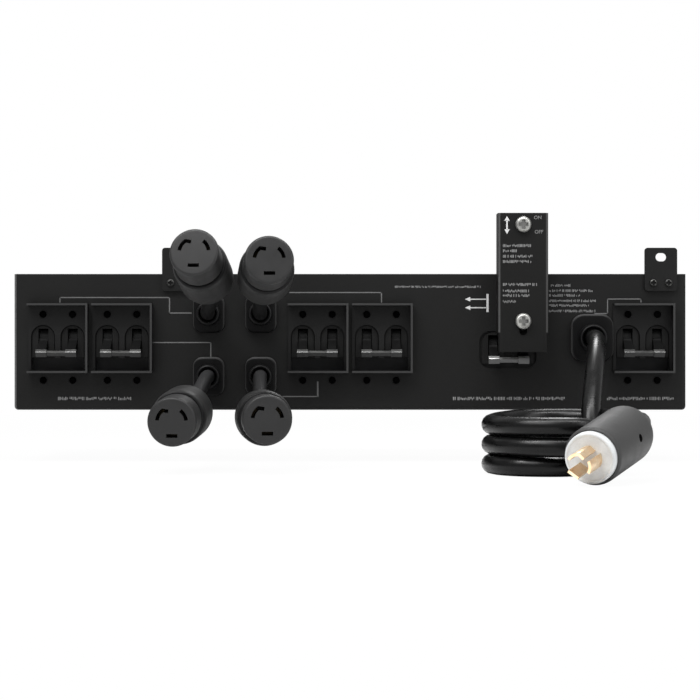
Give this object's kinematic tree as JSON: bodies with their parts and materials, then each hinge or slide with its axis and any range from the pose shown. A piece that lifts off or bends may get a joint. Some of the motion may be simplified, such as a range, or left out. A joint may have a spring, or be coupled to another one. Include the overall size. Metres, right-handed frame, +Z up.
{
  "type": "power distribution unit",
  "caption": "Rack power unit with maintenance bypass: guarded breaker handles, a sliding interlock plate, locking pigtail connectors and a coiled input cord.",
  "frame": {"origin": "midway between the slots of the two mounting ears, on the plane of the ears' back faces, which is the plane of the panel's front", "axes": "+X to the right along the panel as seen from its front, +Z up, and the front faces -Y"},
  "size_m": [0.4382, 0.3503, 0.1605],
  "materials": {
    "black_powder_coat": "matte black powder coat on folded sheet steel",
    "black_moulding": "black moulded plastic",
    "satin_metal": "satin bright metal",
    "dark_steel": "blackened steel",
    "zinc_steel": "zinc plated steel",
    "cord_jacket": "black cord jacket",
    "connector_shell": "black moulded rubber, slightly shiny",
    "connector_face": "dark grey moulded plastic",
    "white_moulding": "white moulded plastic",
    "brass": "bright brass"
  },
  "bodies": {
    "housing": {"chassis_tray": "black_powder_coat", "top_cover": "black_powder_coat", "mounting_ear_left": "black_powder_coat", "mounting_ear_right": "black_powder_coat", "output_1_handle_guard": "black_powder_coat", "output_2_handle_guard": "black_powder_coat", "output_3_handle_guard": "black_powder_coat", "output_4_handle_guard": "black_powder_coat", "input_handle_guard": "black_powder_coat", "output_1_breaker_case": "black_moulding", "output_2_breaker_case": "black_moulding", "output_3_breaker_case": "black_moulding", "output_4_breaker_case": "black_moulding", "bypass_breaker_case": "black_moulding", "input_breaker_case": "black_moulding", "case_screws": "dark_steel", "breaker_screws": "dark_steel", "interlock_lower_screw": "zinc_steel", "interlock_standoff": "zinc_steel", "pigtail_1_gland": "black_moulding", "pigtail_1_cord": "cord_jacket", "pigtail_1_hood": "connector_shell", "pigtail_1_face": "connector_face", "pigtail_2_gland": "black_moulding", "pigtail_2_cord": "cord_jacket", "pigtail_2_hood": "connector_shell", "pigtail_2_face": "connector_face", "pigtail_3_gland": "black_moulding", "pigtail_3_cord": "cord_jacket", "pigtail_3_hood": "connector_shell", "pigtail_3_face": "connector_face", "pigtail_4_gland": "black_moulding", "pigtail_4_cord": "cord_jacket", "pigtail_4_hood": "connector_shell", "pigtail_4_face": "connector_face", "connector_contacts": "brass", "input_gland": "black_moulding", "gland_locknuts": "black_moulding", "input_cord_drop": "cord_jacket", "input_cord_coil": "cord_jacket", "input_cord_tail": "cord_jacket", "plug_body": "connector_shell", "plug_face": "white_moulding", "plug_blades": "brass", "terminal_block": "black_moulding", "ground_bar": "brass"},
    "output_1_handle": {"output_1_breaker_toggles": "black_moulding", "output_1_breaker_tie_bar": "satin_metal"},
    "output_2_handle": {"output_2_breaker_toggles": "black_moulding", "output_2_breaker_tie_bar": "satin_metal"},
    "output_3_handle": {"output_3_breaker_toggles": "black_moulding", "output_3_breaker_tie_bar": "satin_metal"},
    "output_4_handle": {"output_4_breaker_toggles": "black_moulding", "output_4_breaker_tie_bar": "satin_metal"},
    "bypass_handle": {"bypass_breaker_toggles": "black_moulding", "bypass_breaker_tie_bar": "satin_metal"},
    "input_handle": {"input_breaker_toggles": "black_moulding", "input_breaker_tie_bar": "satin_metal"},
    "interlock": {"interlock_plate": "black_powder_coat", "interlock_upper_screw": "zinc_steel"}
  },
  "joints": [
    {"name": "output_1_toggle", "type": "hinge", "parent": "housing", "child": "output_1_handle", "pos_m": [-0.234, 0.008, -0.05155], "axis": [-1, 0, 0], "range_deg": [0, 50]},
    {"name": "output_2_toggle", "type": "hinge", "parent": "housing", "child": "output_2_handle", "pos_m": [-0.1925, 0.008, -0.05155], "axis": [-1, 0, 0], "range_deg": [0, 50]},
    {"name": "output_3_toggle", "type": "hinge", "parent": "housing", "child": "output_3_handle", "pos_m": [-0.066, 0.008, -0.05155], "axis": [-1, 0, 0], "range_deg": [0, 50]},
    {"name": "output_4_toggle", "type": "hinge", "parent": "housing", "child": "output_4_handle", "pos_m": [-0.0246, 0.008, -0.05155], "axis": [-1, 0, 0], "range_deg": [0, 50]},
    {"name": "bypass_toggle", "type": "hinge", "parent": "housing", "child": "bypass_handle", "pos_m": [0.0572, 0.008, -0.0558], "axis": [-1, 0, 0], "range_deg": [0, 50]},
    {"name": "input_toggle", "type": "hinge", "parent": "housing", "child": "input_handle", "pos_m": [0.1443, 0.008, -0.05155], "axis": [-1, 0, 0], "range_deg": [0, 50]},
    {"name": "interlock_slide", "type": "slide", "parent": "housing", "child": "interlock", "axis": [0, 0, 1], "range_m": [0, 0.0065]}
  ],
  "couplings": [
    {"joint": "bypass_toggle", "follows": "interlock_slide", "rad_per_m": 134}
  ]
}
